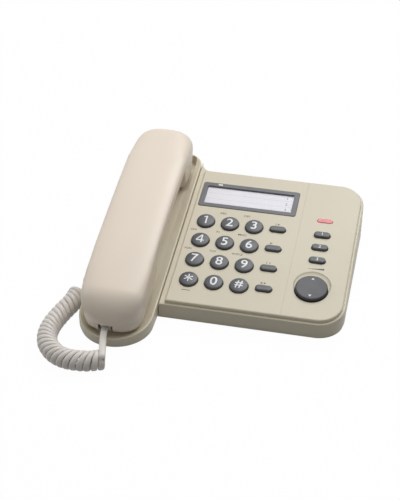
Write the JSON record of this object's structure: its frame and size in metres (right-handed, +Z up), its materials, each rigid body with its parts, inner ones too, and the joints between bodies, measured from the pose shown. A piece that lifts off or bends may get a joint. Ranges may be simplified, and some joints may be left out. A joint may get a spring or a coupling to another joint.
{
  "type": "corded desk telephone",
  "caption": "Corded desk telephone: sloping base with number keys, memory keys, volume rocker and index card, a handset lying in a cradle, and a curly cord.",
  "frame": {"origin": "on the table under the middle of the telephone without its cord", "axes": "+Z up, +Y from the keypad's bottom row towards the earpiece end, +X from the cradle towards the keys"},
  "size_m": [0.2137, 0.2373, 0.0714],
  "materials": {
    "case_ivory": "fine matt grain",
    "handset_ivory": "fine matt grain",
    "pan_plastic": "matt",
    "key_grey": "satin",
    "frame_grey": "satin",
    "card_paper": "paper",
    "window_clear": "clear plastic",
    "lens_red": "glossy",
    "led_clear": "clear",
    "silicone": "matt",
    "board_green": "solder resist",
    "black_plastic": "matt",
    "speaker_dark": "matt",
    "steel": "plain",
    "foot_rubber": "matt",
    "cord_jacket": "satin",
    "plug_clear": "clear"
  },
  "bodies": {
    "base": {"deck_housing": "case_ivory", "cradle_housing": "case_ivory", "base_pan": "pan_plastic", "index_frame": "frame_grey", "index_card": "card_paper", "card_window": "window_clear", "lamp_lens": "lens_red", "lamp_led": "led_clear", "keypad_mat": "silicone", "side_mat": "silicone", "main_board": "board_green", "hook_switch": "black_plastic", "ringer_speaker": "speaker_dark", "line_jack": "black_plastic", "cord_jack": "black_plastic", "ballast_plate": "steel", "rubber_feet": "foot_rubber", "case_screws": "steel", "board_screws": "steel", "hanger_tab": "case_ivory", "handset_lead": "cord_jacket", "curly_cord": "cord_jacket", "base_lead": "cord_jacket", "base_plug": "plug_clear"},
    "key_1": {"key_1": "key_grey"},
    "key_2": {"key_2": "key_grey"},
    "key_3": {"key_3": "key_grey"},
    "key_4": {"key_4": "key_grey"},
    "key_5": {"key_5": "key_grey"},
    "key_6": {"key_6": "key_grey"},
    "key_7": {"key_7": "key_grey"},
    "key_8": {"key_8": "key_grey"},
    "key_9": {"key_9": "key_grey"},
    "key_star": {"key_star": "key_grey"},
    "key_0": {"key_0": "key_grey"},
    "key_hash": {"key_hash": "key_grey"},
    "key_program": {"key_program": "key_grey"},
    "key_flash": {"key_flash": "key_grey"},
    "key_pause": {"key_pause": "key_grey"},
    "key_redial": {"key_redial": "key_grey"},
    "key_memory_1": {"key_memory_1": "key_grey"},
    "key_memory_2": {"key_memory_2": "key_grey"},
    "key_memory_3": {"key_memory_3": "key_grey"},
    "volume_rocker": {"volume_rocker": "key_grey"},
    "hook_plunger": {"hook_plunger": "case_ivory"},
    "ringer_switch": {"ringer_switch": "key_grey"},
    "handset": {"handset_back_shell": "handset_ivory", "handset_face_shell": "handset_ivory", "receiver_capsule": "black_plastic", "receiver_gasket": "silicone", "microphone_capsule": "steel", "handset_weight": "steel", "handset_jack": "black_plastic", "handset_screws": "steel", "handset_plug": "plug_clear"}
  },
  "joints": [
    {"name": "key_1_press", "type": "slide", "parent": "base", "child": "key_1", "axis": [0, 0.1513, -0.9885], "range_m": [0, 0.0012], "stiffness_N_per_m": 800},
    {"name": "key_2_press", "type": "slide", "parent": "base", "child": "key_2", "axis": [0, 0.1513, -0.9885], "range_m": [0, 0.0012], "stiffness_N_per_m": 800},
    {"name": "key_3_press", "type": "slide", "parent": "base", "child": "key_3", "axis": [0, 0.1513, -0.9885], "range_m": [0, 0.0012], "stiffness_N_per_m": 800},
    {"name": "key_4_press", "type": "slide", "parent": "base", "child": "key_4", "axis": [0, 0.1513, -0.9885], "range_m": [0, 0.0012], "stiffness_N_per_m": 800},
    {"name": "key_5_press", "type": "slide", "parent": "base", "child": "key_5", "axis": [0, 0.1513, -0.9885], "range_m": [0, 0.0012], "stiffness_N_per_m": 800},
    {"name": "key_6_press", "type": "slide", "parent": "base", "child": "key_6", "axis": [0, 0.1513, -0.9885], "range_m": [0, 0.0012], "stiffness_N_per_m": 800},
    {"name": "key_7_press", "type": "slide", "parent": "base", "child": "key_7", "axis": [0, 0.1513, -0.9885], "range_m": [0, 0.0012], "stiffness_N_per_m": 800},
    {"name": "key_8_press", "type": "slide", "parent": "base", "child": "key_8", "axis": [0, 0.1513, -0.9885], "range_m": [0, 0.0012], "stiffness_N_per_m": 800},
    {"name": "key_9_press", "type": "slide", "parent": "base", "child": "key_9", "axis": [0, 0.1513, -0.9885], "range_m": [0, 0.0012], "stiffness_N_per_m": 800},
    {"name": "key_star_press", "type": "slide", "parent": "base", "child": "key_star", "axis": [0, 0.1513, -0.9885], "range_m": [0, 0.0012], "stiffness_N_per_m": 800},
    {"name": "key_0_press", "type": "slide", "parent": "base", "child": "key_0", "axis": [0, 0.1513, -0.9885], "range_m": [0, 0.0012], "stiffness_N_per_m": 800},
    {"name": "key_hash_press", "type": "slide", "parent": "base", "child": "key_hash", "axis": [0, 0.1513, -0.9885], "range_m": [0, 0.0012], "stiffness_N_per_m": 800},
    {"name": "key_program_press", "type": "slide", "parent": "base", "child": "key_program", "axis": [0, 0.1513, -0.9885], "range_m": [0, 0.0012], "stiffness_N_per_m": 800},
    {"name": "key_flash_press", "type": "slide", "parent": "base", "child": "key_flash", "axis": [0, 0.1513, -0.9885], "range_m": [0, 0.0012], "stiffness_N_per_m": 800},
    {"name": "key_pause_press", "type": "slide", "parent": "base", "child": "key_pause", "axis": [0, 0.1513, -0.9885], "range_m": [0, 0.0012], "stiffness_N_per_m": 800},
    {"name": "key_redial_press", "type": "slide", "parent": "base", "child": "key_redial", "axis": [0, 0.1513, -0.9885], "range_m": [0, 0.0012], "stiffness_N_per_m": 800},
    {"name": "key_memory_1_press", "type": "slide", "parent": "base", "child": "key_memory_1", "axis": [0, 0.1513, -0.9885], "range_m": [0, 0.0012], "stiffness_N_per_m": 800},
    {"name": "key_memory_2_press", "type": "slide", "parent": "base", "child": "key_memory_2", "axis": [0, 0.1513, -0.9885], "range_m": [0, 0.0012], "stiffness_N_per_m": 800},
    {"name": "key_memory_3_press", "type": "slide", "parent": "base", "child": "key_memory_3", "axis": [0, 0.1513, -0.9885], "range_m": [0, 0.0012], "stiffness_N_per_m": 800},
    {"name": "volume_rocker_tilt", "type": "hinge", "parent": "base", "child": "volume_rocker", "pos_m": [0.06819, -0.03156, 0.01744], "axis": [1, 0, 0], "range_deg": [-3, 3], "stiffness_Nm_per_rad": 0.2},
    {"name": "ringer_switch_slide", "type": "slide", "parent": "base", "child": "ringer_switch", "axis": [1, 0, 0], "range_m": [-0.0025, 0.0025]},
    {"name": "handset_lift", "type": "slide", "parent": "base", "child": "handset", "axis": [0, -0.1513, 0.9885], "range_m": [0, 0.08]},
    {"name": "hook_travel", "type": "slide", "parent": "base", "child": "hook_plunger", "axis": [0, -0.1513, 0.9885], "range_m": [0, 0.004]}
  ],
  "couplings": [
    {"joint": "hook_travel", "follows": "handset_lift", "ratio": 0.05}
  ]
}
